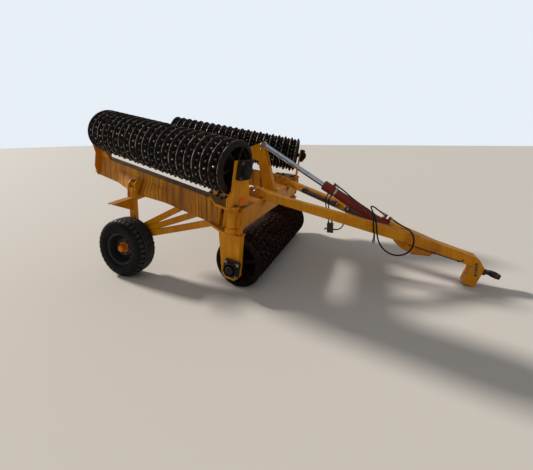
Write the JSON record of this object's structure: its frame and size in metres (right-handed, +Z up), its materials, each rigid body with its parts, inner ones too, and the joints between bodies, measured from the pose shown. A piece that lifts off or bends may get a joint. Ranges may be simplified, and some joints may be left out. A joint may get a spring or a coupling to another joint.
{
  "type": "folded land roller",
  "caption": "Folding ring roller for tillage land, parked folded on its transport wheels: a tipping frame with a centre roll, side rolls above it, and an A-shaped drawbar.",
  "frame": {"origin": "on the ground under the middle of the machine's bounding box", "axes": "+X forward to the hitch eye, +Y to the machine's left, +Z up"},
  "size_m": [5.5008, 3.0038, 2.204],
  "materials": {
    "bearing_iron": "dark grey cast iron, greasy",
    "eye_steel": "forged steel, worn bare inside the ring",
    "hose_rubber": "black hose",
    "hub_paint": "orange paint",
    "paint": "worn golden-orange paint with rust at chips",
    "pin_steel": "dull zinc-plated steel",
    "ram_chrome": "hard chrome",
    "ram_paint": "faded maroon paint",
    "rim_paint": "dull dark paint",
    "ring_iron": "soil-stained cast iron, polished on the ridges",
    "shaft_steel": "rusty steel",
    "tube_black": "black paint, scuffed",
    "tyre_rubber": "dusty black rubber"
  },
  "bodies": {
    "centre_frame": {"centre_beam": "paint", "tower": "paint", "tower_ram_pin": "pin_steel", "drawbar_lugs": "paint", "right_pivot_tube": "paint", "right_leg": "paint", "right_leg_bearing": "bearing_iron", "left_pivot_tube": "paint", "left_leg": "paint", "left_leg_bearing": "bearing_iron"},
    "drawbar": {"right_drawbar_arm": "paint", "left_drawbar_arm": "paint", "drawbar_pins": "pin_steel", "drawbar_head": "paint", "drawbar_keel": "paint", "parking_foot": "paint", "hitch_eye": "eye_steel", "ram_bracket": "paint", "stay_tubes": "tube_black"},
    "ram_barrel": {"ram_barrel": "ram_paint", "gland_hose": "hose_rubber", "base_hose": "hose_rubber", "front_valve_hose": "hose_rubber", "rear_valve_hose": "hose_rubber", "return_valve_hose": "hose_rubber", "gland_coupler": "pin_steel", "stop_valve": "pin_steel"},
    "ram_rod": {"ram_rod": "ram_chrome"},
    "right_wing": {"right_wing_beam": "paint", "right_wing_hinge": "paint", "right_front_plate": "paint", "right_rear_plate": "paint", "right_roll_bearings": "ring_iron", "right_wheel_post": "paint", "right_wheel_struts": "paint", "right_stub_axle": "shaft_steel"},
    "right_wheel": {"right_tyre": "tyre_rubber", "right_rim": "rim_paint", "right_hub": "hub_paint"},
    "right_roll": {"right_rings": "ring_iron", "right_roll_shaft": "shaft_steel"},
    "left_wing": {"left_wing_beam": "paint", "left_wing_hinge": "paint", "left_front_plate": "paint", "left_rear_plate": "paint", "left_roll_bearings": "ring_iron", "left_wheel_post": "paint", "left_wheel_struts": "paint", "left_stub_axle": "shaft_steel"},
    "left_wheel": {"left_tyre": "tyre_rubber", "left_rim": "rim_paint", "left_hub": "hub_paint"},
    "left_roll": {"left_rings": "ring_iron", "left_roll_shaft": "shaft_steel"},
    "centre_roll": {"centre_rings": "ring_iron", "centre_roll_shaft": "shaft_steel"}
  },
  "joints": [
    {"name": "drawbar_tip", "type": "hinge", "parent": "centre_frame", "child": "drawbar", "pos_m": [-0.13065, 0, 1.09774], "axis": [0, -1, 0], "range_deg": [0, 100]},
    {"name": "ram_base", "type": "hinge", "parent": "drawbar", "child": "ram_barrel", "pos_m": [1.53324, 0, 0.58826], "axis": [0, -1, 0], "range_deg": [0, 5.91]},
    {"name": "ram_stroke", "type": "slide", "parent": "ram_barrel", "child": "ram_rod", "axis": [-0.8514, 0, 0.5245], "range_m": [-0.9148, 0]},
    {"name": "centre_roll_spin", "type": "hinge", "parent": "centre_frame", "child": "centre_roll", "pos_m": [-0.18299, 0, 0.305], "axis": [0, 1, 0], "continuous": true},
    {"name": "right_wing_fold", "type": "hinge", "parent": "centre_frame", "child": "right_wing", "pos_m": [-0.13552, -1.255, 0.90133], "axis": [0.1822, 0, 0.9833], "range_deg": [0, 100.5]},
    {"name": "right_roll_spin", "type": "hinge", "parent": "right_wing", "child": "right_roll", "pos_m": [-1.25713, -0.98332, 1.68892], "axis": [0.9668, -0.1822, -0.1792], "continuous": true},
    {"name": "right_wheel_spin", "type": "hinge", "parent": "right_wing", "child": "right_wheel", "pos_m": [-1.71899, -1.224, 0.381], "axis": [0, 1, 0], "continuous": true},
    {"name": "left_wing_fold", "type": "hinge", "parent": "centre_frame", "child": "left_wing", "pos_m": [-0.13552, 1.255, 0.90133], "axis": [-0.1822, 0, -0.9833], "range_deg": [0, 100.5]},
    {"name": "left_roll_spin", "type": "hinge", "parent": "left_wing", "child": "left_roll", "pos_m": [-1.25713, 0.98332, 1.68892], "axis": [0.9668, 0.1822, -0.1792], "continuous": true},
    {"name": "left_wheel_spin", "type": "hinge", "parent": "left_wing", "child": "left_wheel", "pos_m": [-1.71899, 1.224, 0.381], "axis": [0, 1, 0], "continuous": true}
  ],
  "couplings": [
    {"joint": "ram_base", "follows": "drawbar_tip", "ratio": 0.052995},
    {"joint": "ram_stroke", "follows": "drawbar_tip", "m_per_rad": -0.52184}
  ]
}
